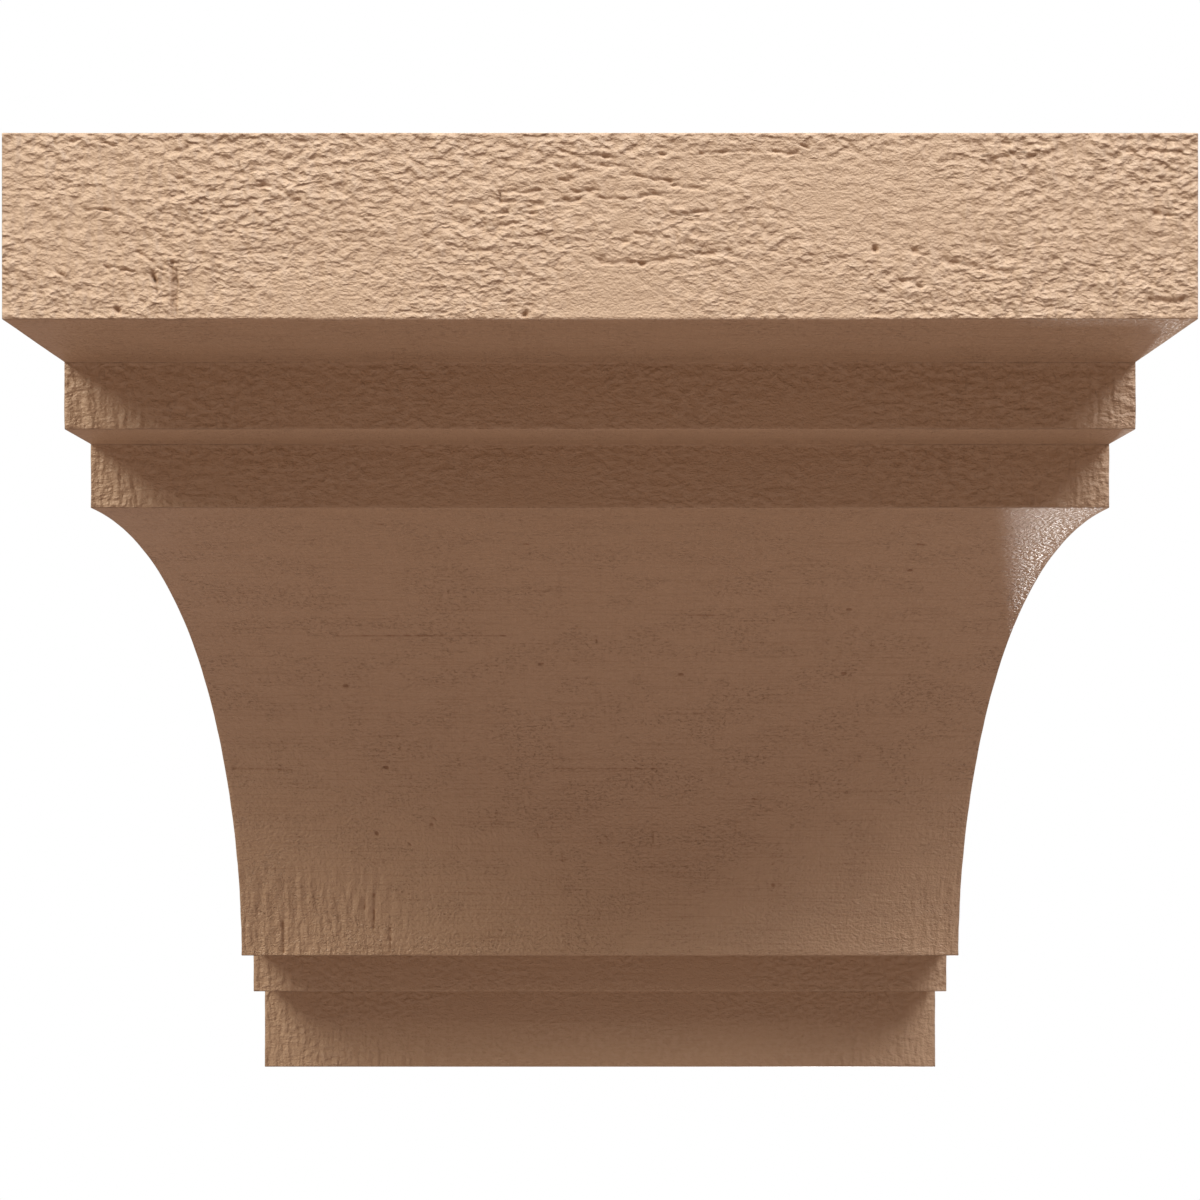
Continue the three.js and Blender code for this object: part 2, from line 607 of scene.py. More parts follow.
@dataclass
class Casting:
    """The corbel's one casting, with its outline in sixteenths of the CAD node's own box.

    Attributes:
        surface: The sawn wood that is moulded into its skin.
        columns: How many columns of faces it has from side to side.
        side_pitch: The size of a face on its two sides, in sixteenths.
        easing: The width that the mould takes off each sharp edge.
        sharp_angle: The least angle between two faces that shows as an edge.
        refined: How many cuts go through the faces of the parts with fine relief.
        marked_cuts: How many more go through the faces around the placed marks.
        frayed_least: How far the saw's strokes stand out where the cove's faces are cut again.
        face_reach: How far a face reaches from its middle, as a share of its size.
        mark_margin: How far around a mark the faces are cut too, in millimetres.
        snap: How near to a vertex a line of the sides' grid runs through it.
        edge_fade: How far from the casting's own edges the relief is whole, in millimetres.
        edge_relief: How much of the relief is left at those edges.
        map_gap: How far apart two zones lie on the grain map, so that no two look alike.
    """

    surface: SawnSurface
    columns: int = 120
    side_pitch: float = 1 / 4
    easing: float = 0.35 * MM
    sharp_angle: float = math.radians(24)
    refined: dict[Zone, int] = field(
        default_factory=lambda: {
            Zone.CAP_FRONT: 2,
            Zone.UPPER_BAND_FRONT: 1,
            Zone.LOWER_BAND_FRONT: 1,
            Zone.SILL_FRONT: 1,
            Zone.FOOT_FRONT: 1,
        }
    )
    marked_cuts: dict[Zone, int] = field(default_factory=lambda: {Zone.CAP_FRONT: 1, Zone.COVE: 3})
    frayed_least: float = 0.2
    face_reach: float = 0.6
    mark_margin: float = 0.2
    snap: float = 0.15 * MM
    edge_fade: float = 1.6
    edge_relief: float = 0.25
    map_gap: float = 0.37

    def __post_init__(self) -> None:
        """Takes the casting's box from the frame, and measures its outline."""
        low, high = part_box(NODE)
        self.low, self.high = Vector(low), Vector(high)
        self.unit = (self.high.z - self.low.z) / SIXTEENTHS
        self.starts: dict[Zone, Vector] = {}
        self.edges: dict[Zone, Vector] = {}
        self._measure()

    def _measure(self) -> None:
        """Notes where each zone's upper or outer edge lies, and the way down along the cove."""
        start = self._point(0, 0)
        for stretch in OUTLINE:
            end = self._point(stretch.depth, stretch.level)
            self.starts[stretch.zone], self.edges[stretch.zone] = start, end
            if stretch.zone is Zone.COVE:
                self.cove = list(self._row_ends(start, stretch))[::-1]
            start = end
        self.cove_ways = [0.0]
        for before, after in zip(self.cove, self.cove[1:]):
            self.cove_ways.append(self.cove_ways[-1] + (after - before).length / MM)
        self.cove_depths = [point.y for point in self.cove]

    def _point(self, depth: float, level: float) -> Vector:
        """A point of the outline on the casting's left side.

        Args:
            depth: How far it stands out from the wall, in sixteenths.
            level: How high it is above the foot, in sixteenths.

        Returns:
            The point in the frame.
        """
        out = self.high.y - depth * self.unit
        return Vector((self.low.x, out, self.low.z + level * self.unit))

    def _row_ends(self, start: Vector, stretch: Stretch) -> Iterator[Vector]:
        """The ends of a stretch's rows, in order, its start among them.

        Args:
            start: Where the stretch begins.
            stretch: The stretch.

        Yields:
            Each point in the frame.
        """
        end = self._point(stretch.depth, stretch.level)
        if stretch.pulls is None:
            handles = (start.lerp(end, 1 / 3), start.lerp(end, 2 / 3))
        else:
            rise, reach = (pull * self.unit for pull in stretch.pulls)
            handles = (start + Vector((0, 0, rise)), end + Vector((0, reach, 0)))
        for row in range(stretch.rows + 1):
            share = row / stretch.rows
            rest = 1 - share
            yield (
                rest**3 * start
                + 3 * rest**2 * share * handles[0]
                + 3 * rest * share**2 * handles[1]
                + share**3 * end
            )

    def build(self) -> bpy.types.Object:
        """Makes the casting's mesh and its object.

        Returns:
            The object.
        """
        self.bm = bmesh.new()
        self.zone_of = self.bm.faces.layers.int.new("zone")
        self._run_walls()
        self._close_sides()
        self._ease_edges()
        self._grid_sides()
        for zone, cuts in self.refined.items():
            self._refine(zone, cuts, lambda spot, size: True)
        self._refine(Zone.COVE, 1, self._is_frayed)
        for zone, cuts in self.marked_cuts.items():
            self._refine(zone, cuts, self._is_marked)
        self._mark_edges()
        self._map_and_carve()
        return meshed("rough_sawn_casting", self.bm)

    def _run_walls(self) -> None:
        """Runs every stretch of the outline from the left side to the right, in columns."""
        bm = self.bm
        across = Vector((self.high.x - self.low.x, 0, 0))
        start = self._point(0, 0)
        for stretch in OUTLINE:
            row = [bm.verts.new(point) for point in self._row_ends(start, stretch)]
            wire = [bm.edges.new(pair) for pair in zip(row, row[1:])]
            run = bmesh.ops.extrude_edge_only(bm, edges=wire)["geom"]
            bmesh.ops.translate(bm, vec=across, verts=[e for e in run if isinstance(e, BMVert)])
            self._name_new_faces(stretch.zone)
            start = self._point(stretch.depth, stretch.level)
        bmesh.ops.remove_doubles(bm, verts=bm.verts[:], dist=1e-6)
        nearly_across = 0.99 * across.x
        lengthwise = [e for e in bm.edges if e.calc_length() > nearly_across and not e.is_boundary]
        bmesh.ops.subdivide_edges(bm, edges=lengthwise, cuts=self.columns - 1)

    def _close_sides(self) -> None:
        """Closes the casting's two ends, each with one face."""
        rims = [edge for edge in self.bm.edges if edge.is_boundary]
        bmesh.ops.edgeloop_fill(self.bm, edges=rims)
        self._name_new_faces(Zone.SIDE)
        bmesh.ops.recalc_face_normals(self.bm, faces=self.bm.faces[:])

    def _name_new_faces(self, zone: Zone) -> None:
        """Puts the faces that have no zone yet into one."""
        for face in self.bm.faces:
            if not face[self.zone_of]:
                face[self.zone_of] = zone.value

    def _ease_edges(self) -> None:
        """Takes the sharpness off every edge of the casting."""
        bmesh.ops.bevel(
            self.bm, geom=self._sharp(), offset=self.easing, offset_type="OFFSET", segments=2,
            profile=0.5, affect="EDGES", material=-1, clamp_overlap=True,
        )

    def _sharp(self) -> list[BMEdge]:
        """The edges where two faces meet at more than the sharp angle."""
        return [e for e in self.bm.edges if e.calc_face_angle(0) > self.sharp_angle]

    def _grid_sides(self) -> None:
        """Cuts each side into a grid of small faces."""
        pitch = self.unit * self.side_pitch
        lines = round(SIXTEENTHS / self.side_pitch)
        ends = [f for f in self.bm.faces if f[self.zone_of] == Zone.SIDE.value and abs(f.normal.x) > 0.99]
        edges = list({edge for face in ends for edge in face.edges})
        verts = list({vert for edge in edges for vert in edge.verts})
        geometry = verts + edges + ends
        for axis, first in ((Vector((0, 1, 0)), self.low.y), (Vector((0, 0, 1)), self.low.z)):
            for line in range(1, lines):
                geometry = bmesh.ops.bisect_plane(
                    self.bm, geom=geometry, dist=self.snap, plane_no=axis,
                    plane_co=axis * (first + line * pitch),
                )["geom"]

    def _refine(self, zone: Zone, cuts: int, wanted: Callable[[Spot, float], bool]) -> None:
        """Makes the faces of a part of the surface smaller, where a test says so.

        Args:
            zone: The part of the surface.
            cuts: How many cuts go through a face.
            wanted: The test. It takes the middle of a face, and its size in millimetres.
        """
        edges = set()
        for face in self.bm.faces:
            if face[self.zone_of] == zone.value:
                spot = self._spot(face.calc_center_median(), zone)
                if wanted(spot, math.sqrt(face.calc_area()) / MM):
                    edges.update(face.edges)
        bmesh.ops.subdivide_edges(self.bm, edges=list(edges), cuts=cuts, use_grid_fill=True)

    def _is_frayed(self, spot: Spot, _: float) -> bool:
        """Whether the saw's strokes stand out at a point."""
        return self.surface.frayed(spot) > self.frayed_least

    def _is_marked(self, spot: Spot, size: float) -> bool:
        """Whether a mark, other than a smooth one, comes near a face.

        Args:
            spot: The face's middle.
            size: Its size in millimetres.

        Returns:
            Whether one does.
        """
        reach = self.face_reach * size + self.mark_margin
        return any(
            mark.kind is not ScarKind.SMOOTH and mark.distance(spot)[0] < mark.width + reach
            for mark in self.surface.near(spot)
        )

    def _mark_edges(self) -> None:
        """Smooths every face's shading, apart from the casting's own edges."""
        self.bm.normal_update()
        for face in self.bm.faces:
            face.smooth = True
        for edge in self._sharp():
            edge.smooth = False

    def _map_and_carve(self) -> None:
        """Writes the maps that the finish reads, and sinks the relief into the skin."""
        grain = self.bm.loops.layers.uv.new("grain")
        floats = self.bm.verts.layers.float
        hollow, torn, combed, frayed = map(floats.new, ("hollow", "torn", "combed", "frayed"))
        self.bm.normal_update()
        moves: dict[BMVert, Vector] = {}
        for vert in self.bm.verts:
            spots = [self._spot(vert.co, zone) for zone in self._zones(vert)]
            count = len(spots)
            vert[frayed] = sum(map(self.surface.frayed, spots)) / count
            vert[torn] = sum(RELIEFS[spot.zone].torn * self.surface.torn(spot) for spot in spots) / count
            vert[combed] = sum(RELIEFS[spot.zone].combed for spot in spots) / count
            # The placed marks' depth, which the primer also turns into painted shade.
            vert[hollow] = sum(map(self.surface.marked, spots)) / count
            depth = sum(map(self.surface.height, spots)) * (self._fade(vert) / count)
            moves[vert] = -vert.normal * depth * MM
        for face in self.bm.faces:
            zone = Zone(face[self.zone_of])
            for loop in face.loops:
                _, along, down = self._spot(loop.vert.co, zone)
                loop[grain].uv = (along * MM + self.map_gap * zone.value, down * MM)
        for vert, move in moves.items():
            vert.co += move

    def _zones(self, vert: BMVert) -> set[Zone]:
        """The parts of the surface that meet at a vertex."""
        return {Zone(face[self.zone_of]) for face in vert.link_faces}

    def _fade(self, vert: BMVert) -> float:
        """How much of the relief is left at a vertex: less near the casting's own edges.

        Args:
            vert: The vertex.

        Returns:
            The share of the relief, from 0 to 1.
        """
        zones = self._zones(vert)
        point = vert.co
        if Zone.BACK in zones:
            return 0.0
        if Zone.SIDE in zones:
            gap = min(point.y - self.low.y, self.high.z - point.z, self.high.y - point.y)
        else:
            ends = [self.edges[zone] for zone in zones] + [self.starts[zone] for zone in zones]
            gap = min(math.hypot(point.y - end.y, point.z - end.z) for end in ends)
            gap = min(gap, point.x - self.low.x, self.high.x - point.x)
        return clamped(gap / MM / self.edge_fade, self.edge_relief)

    def _spot(self, point: Vector, zone: Zone) -> Spot:
        """Where a point lies on its zone.

        Args:
            point: The point in the frame.
            zone: The part of the surface.

        Returns:
            The spot. On a side, the way out from the wall is the place along the grain.
        """
        if zone is Zone.SIDE:
            return Spot(zone, point.y / MM, (self.high.z - point.z) / MM)
        if zone is Zone.COVE:
            row = int(clamped(bisect_right(self.cove_depths, point.y), 1, len(self.cove) - 1)) - 1
            before = self.cove[row]
            step = math.hypot(point.y - before.y, point.z - before.z) / MM
            return Spot(zone, point.x / MM, self.cove_ways[row] + step)
        edge = self.edges[zone]
        return Spot(zone, point.x / MM, (abs(edge.z - point.z) + abs(edge.y - point.y)) / MM)


Value = "Maths | float"


class Maths:
    """A shader socket that takes part in Python expressions, each step adding a Math node."""

    def __init__(self, nodes: "Nodes", socket: bpy.types.NodeSocket) -> None:
        """Wraps a socket.

        Args:
            nodes: The builder of the tree that the socket is in.
            socket: The output socket.
        """
        self.nodes = nodes
        self.socket = socket

    def _with(self, operation: str, *values: Value) -> "Maths":
        """Adds one Math node and returns its output."""
        return Maths(self.nodes, self.nodes.add("ShaderNodeMath", {"operation": operation}, *values))

    def __add__(self, other: Value) -> "Maths":
        """The sum."""
        return self._with("ADD", self, other)

    __radd__ = __add__

    def __sub__(self, other: Value) -> "Maths":
        """The difference."""
        return self._with("SUBTRACT", self, other)

    def __rsub__(self, other: float) -> "Maths":
        """The difference from a number."""
        return self._with("SUBTRACT", other, self)

    def __mul__(self, other: Value) -> "Maths":
        """The product."""
        return self._with("MULTIPLY", self, other)

    __rmul__ = __mul__

    def gap(self, other: Value) -> "Maths":
        """How far it is from a value, without a sign."""
        return self._with("ABSOLUTE", self - other)

    def ramp(self, low: float, high: float) -> "Maths":
        """0 below low, 1 above high, and smooth between them.

        Args:
            low: Where the ramp starts.
            high: Where it ends.

        Returns:
            The ramp's value.
        """
        settings = {"interpolation_type": "SMOOTHSTEP", "clamp": True}
        return Maths(self.nodes, self.nodes.add("ShaderNodeMapRange", settings, self, low, high))


class Nodes:
    """Adds nodes to the tree of a material or of the world."""

    def __init__(self, owner: bpy.types.Material | bpy.types.World) -> None:
        """Empties the tree.

        Args:
            owner: The material or the world.
        """
        owner.use_nodes = True
        self.tree = owner.node_tree
        self.tree.nodes.clear()

    def add(
        self, kind: str, settings: dict[str, object] | None = None, *values: object,
        output: int | str = 0, **named: object,
    ) -> bpy.types.NodeSocket:
        """Adds one node.

        Args:
            kind: The node's type.
            settings: Its own settings, which are set first.
            *values: The values or links of its sockets, in order.
            output: The output socket to return.
            **named: The values or links of its sockets by name, with _ for a space.

        Returns:
            The output socket.
        """
        node = self.tree.nodes.new(kind)
        for name, value in (settings or {}).items():
            setattr(node, name, value)
        for socket, value in zip(node.inputs, values):
            self._feed(socket, value)
        for name, value in named.items():
            self._feed(node.inputs[name.replace("_", " ")], value)
        return node.outputs[output] if node.outputs else None

    def _feed(self, socket: bpy.types.NodeSocket, value: object) -> None:
        """Sets an input socket, or links it to an output."""
        value = value.socket if isinstance(value, Maths) else value
        if isinstance(value, bpy.types.NodeSocket):
            self.tree.links.new(value, socket)
        else:
            socket.default_value = value

    def vector(self, operation: str, *values: object, **named: object) -> bpy.types.NodeSocket:
        """Adds one Vector Math node, as add does, and returns its output."""
        return self.add("ShaderNodeVectorMath", {"operation": operation}, *values, **named)

    def blend(self, share: Maths, first: object, second: object) -> bpy.types.NodeSocket:
        """A colour between two.

        Args:
            share: How much of the second colour there is.
            first: The first colour, or a link to it.
            second: The second.

        Returns:
            The colour.
        """
        mix = self.tree.nodes.new("ShaderNodeMix")
        mix.data_type = "RGBA"
        colours = {"Factor_Float": share, "A_Color": first, "B_Color": second}
        for socket in mix.inputs:
            if socket.identifier in colours:
                self._feed(socket, colours[socket.identifier])
        return next(socket for socket in mix.outputs if socket.identifier == "Result_Color")


@dataclass(frozen=True)
class Grain:
    """One layer of the skin's fine relief and colour, in millimetres.

    Attributes:
        length: How long its blots are along the grain.
        width: How wide they are across it.
        height: How high they stand, or how deep they are cut.
        detail: How many finer layers they have.
        cut: Between which values of the noise they begin and are whole.
        darkening: How much of the darker colour they take: painted shade in the gaps, and darker along
            the lines, strokes, specks and curls.
    """

    length: float
    width: float
    height: float = 0.0
    detail: float = 0.0
    cut: Range = (0.0, 1.0)
    darkening: float = 0.0


@dataclass(frozen=True)
class PrimedFoam:
    """Tan factory primer on the casting's dense skin.

    Attributes:
        tan: The primer's colour.
        crest_highlight: The paler colour of the highlight painted on the high grain, where the lamp above
            catches the crests; the pale blots take it too.
        crevice_shade: The darker colour of the shade painted in the gaps, the low grain and the marks'
            hollows; the lines, strokes, specks and curls take it too.
        roughness: How matt it is.
        sheen: How much smoother the planed parts are.
        mottle: How much rougher the primer's blots are.
        lumps: The torn flakes.
        chips: The smaller ones among them.
        gouges: The gaps torn between them, whose painted shade the nicks and the low grain share.
        nicks: The smaller gaps.
        low: Between which depths the low grain gets painted shade.
        low_shares: How much the flakes and the chips count for that.
        highlight_and_blots: Between which heights the high grain and the pale blots take the paler
            colour: a painted highlight on the crests, paler tone on the blots.
        highlight_and_blot_shares: How much the flakes and the blots count for that.
        pores: The skin's own pores.
        pore_shares: How high they stand everywhere, and how much higher on the torn and on the
            combed parts.
        lines: The level lines on the planed parts.
        strokes: The saw's upright strokes there.
        ridges: The upright ridges where the strokes stand out.
        frayed_lumps: How high the flakes among those ridges are.
        burr: The fine burr on the planed parts.
        specks: The specks on the planed parts.
        speck_places: Where on the blots there are specks.
        curls: Curly scratches, along the lines where this noise crosses its middle.
        curl_gaps: Where on the burr they are broken off.
        curl_places: Where on the blots they are.
        blots: The slow changes of colour.
        marks: Between which depths the placed marks get painted shade in their hollows.
        mark_shade: How much of the darker colour the marks take as painted shade, and how much more on
            the planed parts.
        swirl: What sways the grain.
        sway: How far it does, along and across.
        droop: How far the flakes hang over.
    """

    tan: Colour = (0.53, 0.405, 0.285, 1)
    crest_highlight: Colour = (0.58, 0.462, 0.345, 1)
    crevice_shade: Colour = (0.35, 0.225, 0.138, 1)
    roughness: float = 0.62
    sheen: float = 0.33
    mottle: float = 0.10
    lumps: Grain = Grain(3.0, 2.0, 0.37, 1)
    chips: Grain = Grain(1.5, 1.1, 0.18)
    gouges: Grain = Grain(3.0, 1.95, 0.22, cut=(0.30, 0.70), darkening=0.10)
    nicks: Grain = Grain(1.8, 1.2, 0.12, cut=(0.30, 0.70))
    low: Range = (-0.02, 0.16)
    low_shares: Pair = (0.6, 0.4)
    highlight_and_blots: Range = (0.35, 0.72)
    highlight_and_blot_shares: Pair = (0.7, 0.3)
    pores: Grain = Grain(0.8, 0.6, 0.20, 1)
    pore_shares: Triple = (0.8, 0.3, 0.8)
    lines: Grain = Grain(40, 0.8, 0.09, 2, cut=(0.50, 0.78), darkening=0.32)
    strokes: Grain = Grain(0.7, 30, 0.04, 2, cut=(0.50, 0.80), darkening=0.14)
    ridges: Grain = Grain(2.6, 12, 0.9, 1)
    frayed_lumps: float = 0.3
    burr: Grain = Grain(1.5, 1.1, 0.36)
    specks: Grain = Grain(1.8, 0.9, 0.2, 1, cut=(0.62, 0.75), darkening=0.4)
    speck_places: Range = (0.36, 0.60)
    curls: Grain = Grain(4.6, 3.4, 0.2, 2, cut=(0.0, 0.02), darkening=0.5)
    curl_gaps: Range = (0.50, 0.62)
    curl_places: Range = (0.44, 0.58)
    blots: Grain = Grain(26, 14, 0, 2)
    marks: Range = (0.06, 0.40)
    mark_shade: Pair = (0.5, 0.4)
    swirl: Grain = Grain(9, 6, detail=1)
    sway: Triple = (1.6, 1.0, 0.0)
    droop: float = 0.3

    def material(self) -> bpy.types.Material:
        """Makes the material.

        Returns:
            The material.
        """
        material = bpy.data.materials.new("primed_foam")
        nodes = Nodes(material)
        skin = Skin(self, nodes)
        shader = nodes.add(
            "ShaderNodeBsdfPrincipled", {}, Base_Color=skin.colour(), Roughness=skin.roughness(),
            Normal=nodes.add("ShaderNodeBump", {}, Strength=1.0, Distance=MM, Height=skin.height()),
        )
        nodes.add("ShaderNodeOutputMaterial", {}, shader)
        return material


class Skin:
    """Samples each layer of the primed skin, and adds them up."""

    def __init__(self, finish: PrimedFoam, nodes: Nodes) -> None:
        """Samples the layers.

        Args:
            finish: Their sizes.
            nodes: The builder of the material's nodes.
        """
        self.finish = finish
        self.nodes = nodes
        self.torn = self._painted("torn")
        self.combed = self._painted("combed")
        self.hollow = self._painted("hollow")
        self.frayed = self._painted("frayed")
        grain_map = nodes.add("ShaderNodeUVMap", {"uv_map": "grain"})
        in_mm = nodes.vector("SCALE", grain_map, Scale=1 / MM)
        swirl = nodes.add(
            "ShaderNodeTexNoise", {"noise_dimensions": "2D"}, output="Color",
            Vector=self._scaled(in_mm, finish.swirl), Scale=1.0, Detail=finish.swirl.detail,
        )
        pull = nodes.vector("MULTIPLY_ADD", swirl, finish.sway, in_mm)
        lifted = self._grain(pull, finish.lumps)
        droop = nodes.add("ShaderNodeCombineXYZ", {}, 0.0, lifted * -finish.droop, 0.0)
        hung = nodes.vector("ADD", pull, droop)
        self.lumps = self._grain(hung, finish.lumps)
        self.chips = self._grain(hung, finish.chips)
        self.gouges = self.torn * (1.0 - self._cut(hung, finish.gouges))
        self.nicks = self.torn * (1.0 - self._cut(hung, finish.nicks))
        self.pores = self._grain(in_mm, finish.pores)
        self.lines = self._grain(in_mm, finish.lines)
        self.strokes = self._grain(in_mm, finish.strokes)
        self.ridges = self._grain(pull, finish.ridges)
        self.burr = self._grain(pull, finish.burr)
        self.blots = self._grain(in_mm, finish.blots)
        self.specks = self.combed * self._cut(pull, finish.specks) * self.blots.ramp(*finish.speck_places)
        curl = 1.0 - self._grain(pull, finish.curls).gap(MID_NOISE).ramp(*finish.curls.cut)
        broken = self.burr.ramp(*finish.curl_gaps) * self.blots.ramp(*finish.curl_places)
        self.curls = self.combed * curl * broken

    def height(self) -> Maths:
        """The fine relief.

        Returns:
            Its height in millimetres.
        """
        finish = self.finish
        everywhere, on_torn, on_combed = finish.pore_shares
        pores = self.pores * (everywhere + on_torn * self.torn + on_combed * self.combed)
        combs = self.lines * finish.lines.height + self.strokes * finish.strokes.height
        frays = self.ridges * finish.ridges.height + self.lumps * finish.frayed_lumps
        height = self.torn * (self.lumps * finish.lumps.height + self.chips * finish.chips.height)
        height = height - self.gouges * finish.gouges.height - self.nicks * finish.nicks.height
        height = height + pores * finish.pores.height
        height = height + self.combed * combs + self.frayed * frays
        height = height + self.combed * (1.0 - self.frayed) * self.burr * finish.burr.height
        return height - self.specks * finish.specks.height - self.curls * finish.curls.height

    def colour(self) -> bpy.types.NodeSocket:
        """The primer's colour, with a painted highlight on the crests, painted shade in the gaps, the low
        grain and the marks, and darker along the fine lines, strokes, specks and curls.

        Returns:
            The colour.
        """
        finish = self.finish
        # Painted highlight: the high grain is painted paler where the lamp above catches the crests; the
        # slow blots add paler tone of their own.
        on_lumps, on_blots = finish.highlight_and_blot_shares
        highlight_and_blots = (self.lumps * on_lumps + self.blots * on_blots).ramp(*finish.highlight_and_blots) * self.torn
        # Painted shade: the low grain, the gaps and the nicks are darkened, as their fine relief is only
        # bump and casts no shade of its own.
        on_lumps, on_chips = finish.low_shares
        depth = MID_NOISE - self.lumps * on_lumps - self.chips * on_chips
        painted_low_shade = depth.ramp(*finish.low) * self.torn
        lines = self.lines.ramp(*finish.lines.cut) * finish.lines.darkening
        strokes = self.strokes.ramp(*finish.strokes.cut) * finish.strokes.darkening
        on_mark, on_planed_mark = finish.mark_shade
        # sunk gathers the painted shade and the darkening along the lines, strokes, specks and curls.
        sunk = (self.gouges + self.nicks + painted_low_shade) * finish.gouges.darkening
        sunk = sunk + self.specks * finish.specks.darkening + self.curls * finish.curls.darkening
        sunk = sunk + (lines + strokes) * self.combed
        # Painted shade in the hollows of the placed marks, stronger on the planed parts.
        sunk = sunk + self.hollow.ramp(*finish.marks) * (on_mark + on_planed_mark * self.combed)
        primer = self.nodes.blend(highlight_and_blots, finish.tan, finish.crest_highlight)
        return self.nodes.blend(sunk, primer, finish.crevice_shade)

    def roughness(self) -> Maths:
        """How matt the primer is."""
        finish = self.finish
        return finish.roughness + finish.mottle * self.blots - finish.sheen * self.combed

    def _painted(self, name: str) -> Maths:
        """The value that the mesh carries under a name."""
        attribute = self.nodes.add("ShaderNodeAttribute", {"attribute_name": name}, output="Fac")
        return Maths(self.nodes, attribute)

    def _scaled(self, place: bpy.types.NodeSocket, grain: Grain) -> bpy.types.NodeSocket:
        """A place along and across the grain, measured in the blots of one layer."""
        return self.nodes.vector("MULTIPLY", place, (1 / grain.length, 1 / grain.width, 1.0))

    def _grain(self, place: bpy.types.NodeSocket, grain: Grain) -> Maths:
        """Noise whose blots are longer along the grain than across it.

        Args:
            place: The place on the surface in millimetres.
            grain: The layer.

        Returns:
            The noise, from 0 to 1.
        """
        return Maths(self.nodes, self.nodes.add(
            "ShaderNodeTexNoise", {"noise_dimensions": "2D"}, Vector=self._scaled(place, grain),
            Scale=1.0, Detail=grain.detail, Roughness=0.55,
        ))

    def _cut(self, place: bpy.types.NodeSocket, grain: Grain) -> Maths:
        """The same noise, from 0 where its blots begin to 1 where they are whole."""
        return self._grain(place, grain).ramp(*grain.cut)


@dataclass(frozen=True)
class SoftLight:
    """One soft lamp that faces the corbel.

    Attributes:
        name: The lamp's name.
        towards: The direction from the corbel to the lamp, of any length.
        distance: How far away it is.
        size: The side of its square face.
        power: Its power in watts.
        colour: Its colour.
        lights_floor: Whether it lights the floor too.
    """

    name: str
    towards: Triple
    distance: float
    size: float
    power: float
    colour: Triple
    lights_floor: bool = False

    def hang(self, centre: Vector) -> bpy.types.Object:
        """Puts the lamp in its place.

        Args:
            centre: What the lamp faces.

        Returns:
            The lamp's object.
        """
        data = bpy.data.lights.new(self.name, "AREA")
        data.size = self.size
        data.energy = self.power
        data.color = self.colour
        lamp = placed(self.name, data)
        away = Vector(self.towards).normalized()
        lamp.location = centre + away * self.distance
        lamp.rotation_mode = "QUATERNION"
        lamp.rotation_quaternion = away.to_track_quat("Z", "Y")
        lamp.visible_camera = False
        return lamp


LAMPS = (
    SoftLight("lamp_left", (-0.95, -0.48, 1.0), 2.4, 1.35, 52.5, (1.0, 0.87, 0.72)),
    SoftLight("lamp_right", (0.66, -0.48, 1.0), 2.4, 1.35, 49.0, (1.0, 0.90, 0.84)),
    SoftLight("lamp_over", (0.0, -0.50, 1.0), 1.8, 0.4, 14.8, (0.93, 1.03, 1.11), lights_floor=True),
    SoftLight("lamp_behind", (0.29, 1.0, -0.65), 1.2, 0.16, 8.5, (1.0, 1.0, 1.0)),
)


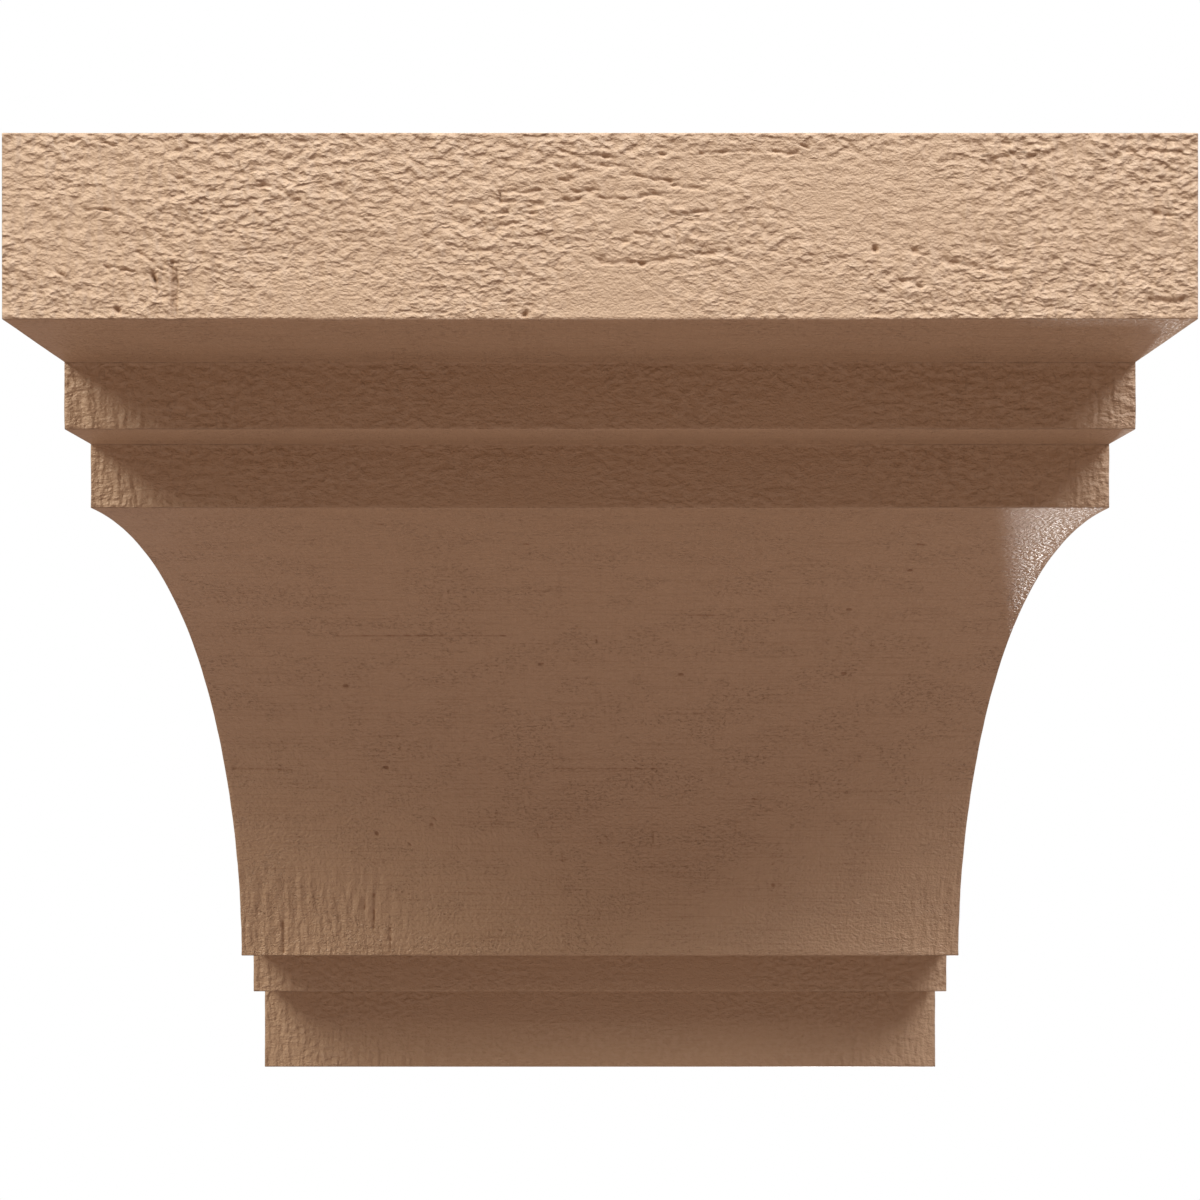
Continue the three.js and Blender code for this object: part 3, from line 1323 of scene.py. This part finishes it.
@dataclass
class Studio:
    """The camera, the pale floor, the white surround and the soft lamps.

    Attributes:
        low: The lowest corner of the corbel's box.
        high: Its highest corner.
        camera_gap: The camera's distance in front of the cap, in corbel widths.
        camera_level: Its height above the corbel's middle, in corbel widths.
        sensor: The width of its sensor in millimetres.
        lens: Its focal length in millimetres.
        shift: How far the picture is shifted up, as a share of its width.
        ambient: The colour of the soft light that comes from all sides.
        below: From straight below to which level, as a share of straight up, that light
            changes from its lower strength to its strength in front.
        from_below: How strong it is from straight below.
        from_front: How strong it is from the level of the corbel.
        above: Between which levels it grows again.
        from_above: How much stronger it is from above.
        floor_drop: How far the floor lies under the corbel.
        floor_reach: The floor's radius.
        floor_fade: Between which shares of that radius it fades into the surround.
        floor_clear: How clear the floor is in its middle.
        floor_colour: The floor's colour.
    """

    low: Vector
    high: Vector
    camera_gap: float = 1.0752
    camera_level: float = -0.0008
    sensor: float = 36
    lens: float = 38.63
    shift: float = 0.10998
    ambient: Colour = (0.412, 0.272, 0.213, 1)
    below: Range = (-1.0, 0.1)
    from_below: float = 1.52
    from_front: float = 0.55
    above: Range = (0.25, 0.75)
    from_above: float = 0.30
    floor_drop: float = 0.65
    floor_reach: float = 1.4
    floor_fade: Range = (0.3, 0.97)
    floor_clear: float = 0.5
    floor_colour: Colour = (0.86, 0.85, 0.83, 1)

    def set_up(self) -> None:
        """Places everything. Only the lamps that light the floor too reach it."""
        bpy.context.scene.view_settings.view_transform = "Standard"
        bpy.context.scene.view_settings.look = "None"
        self._camera()
        self._surround()
        all_but_floor = bpy.data.collections.new("all_but_floor")
        all_but_floor.objects.link(self._floor())
        for child in all_but_floor.collection_objects:
            child.light_linking.link_state = "EXCLUDE"
        for lamp in LAMPS:
            hung = lamp.hang((self.low + self.high) / 2)
            if not lamp.lights_floor:
                hung.light_linking.receiver_collection = all_but_floor

    def _camera(self) -> None:
        """Stands the camera level in front of the corbel, where the photograph was taken."""
        width = self.high.x - self.low.x
        middle = (self.low + self.high) / 2
        data = bpy.data.cameras.new("camera")
        data.sensor_width = self.sensor
        data.lens = self.lens
        data.shift_y = self.shift
        data.clip_start = 0.01
        camera = placed("camera", data)
        out = self.low.y - self.camera_gap * width
        camera.location = (middle.x, out, middle.z + self.camera_level * width)
        camera.rotation_euler = (math.radians(90), 0, 0)
        bpy.context.scene.camera = camera

    def _surround(self) -> None:
        """Lights the corbel softly from all sides, with plain white to be seen behind it."""
        world = bpy.data.worlds.new("surround")
        bpy.context.scene.world = world
        nodes = Nodes(world)
        place = nodes.add("ShaderNodeTexCoord", {}, output="Generated")
        level = nodes.add("ShaderNodeSeparateXYZ", {}, place, output="Z")
        low = nodes.add("ShaderNodeMapRange", {}, level, *self.below, self.from_below, self.from_front)
        high = nodes.add("ShaderNodeMapRange", {}, level, *self.above, 0.0, self.from_above)
        soft = nodes.add("ShaderNodeBackground", {}, self.ambient, Maths(nodes, low) + Maths(nodes, high))
        white = nodes.add("ShaderNodeBackground", {}, (1, 1, 1, 1))
        seen = nodes.add("ShaderNodeLightPath", {}, output="Is Camera Ray")
        nodes.add("ShaderNodeOutputWorld", {}, nodes.add("ShaderNodeMixShader", {}, seen, soft, white))

    def _floor(self) -> bpy.types.Object:
        """Lays the pale floor, which fades into the surround.

        Returns:
            The floor's object.
        """
        bm = bmesh.new()
        bmesh.ops.create_circle(bm, cap_ends=True, segments=96, radius=self.floor_reach)
        bmesh.ops.translate(bm, vec=(0, 0, self.low.z - self.floor_drop), verts=bm.verts[:])
        floor = meshed("floor", bm)
        material = bpy.data.materials.new("pale_floor")
        nodes = Nodes(material)
        place = nodes.add("ShaderNodeTexCoord", {}, output="Object")
        flat = nodes.vector("MULTIPLY", place, (1, 1, 0))
        reach = Maths(nodes, nodes.vector("LENGTH", flat, output="Value"))
        start, end = (share * self.floor_reach for share in self.floor_fade)
        clear = self.floor_clear + (1 - self.floor_clear) * reach.ramp(start, end)
        pale = nodes.add("ShaderNodeBsdfDiffuse", {}, self.floor_colour)
        nothing = nodes.add("ShaderNodeBsdfTransparent", {})
        faded = nodes.add("ShaderNodeMixShader", {}, clear, pale, nothing)
        nodes.add("ShaderNodeOutputMaterial", {}, faded)
        floor.data.materials.append(material)
        floor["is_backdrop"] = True
        return floor


def main() -> None:
    """Builds the studio and the casting."""
    logging.basicConfig(level=logging.INFO, format="%(name)s: %(message)s")
    noise.seed_set(NOISE_SEED)
    low, high = (Vector(corner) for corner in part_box(NODE))
    Studio(low, high).set_up()
    log.info("studio: %d lamps", len(LAMPS))
    piece = Casting(SawnSurface(scars())).build()
    piece.data.materials.append(PrimedFoam().material())
    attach(piece, BODY)
    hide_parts(NODE)
    piece.data.calc_loop_triangles()
    log.info("%s: %d triangles", piece.name, len(piece.data.loop_triangles))
    boxes = {"cad": cad_box, "visual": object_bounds()}
    {name: [list(corner) for corner in box] for name, box in boxes.items()}


if __name__ == "__main__":
    main()
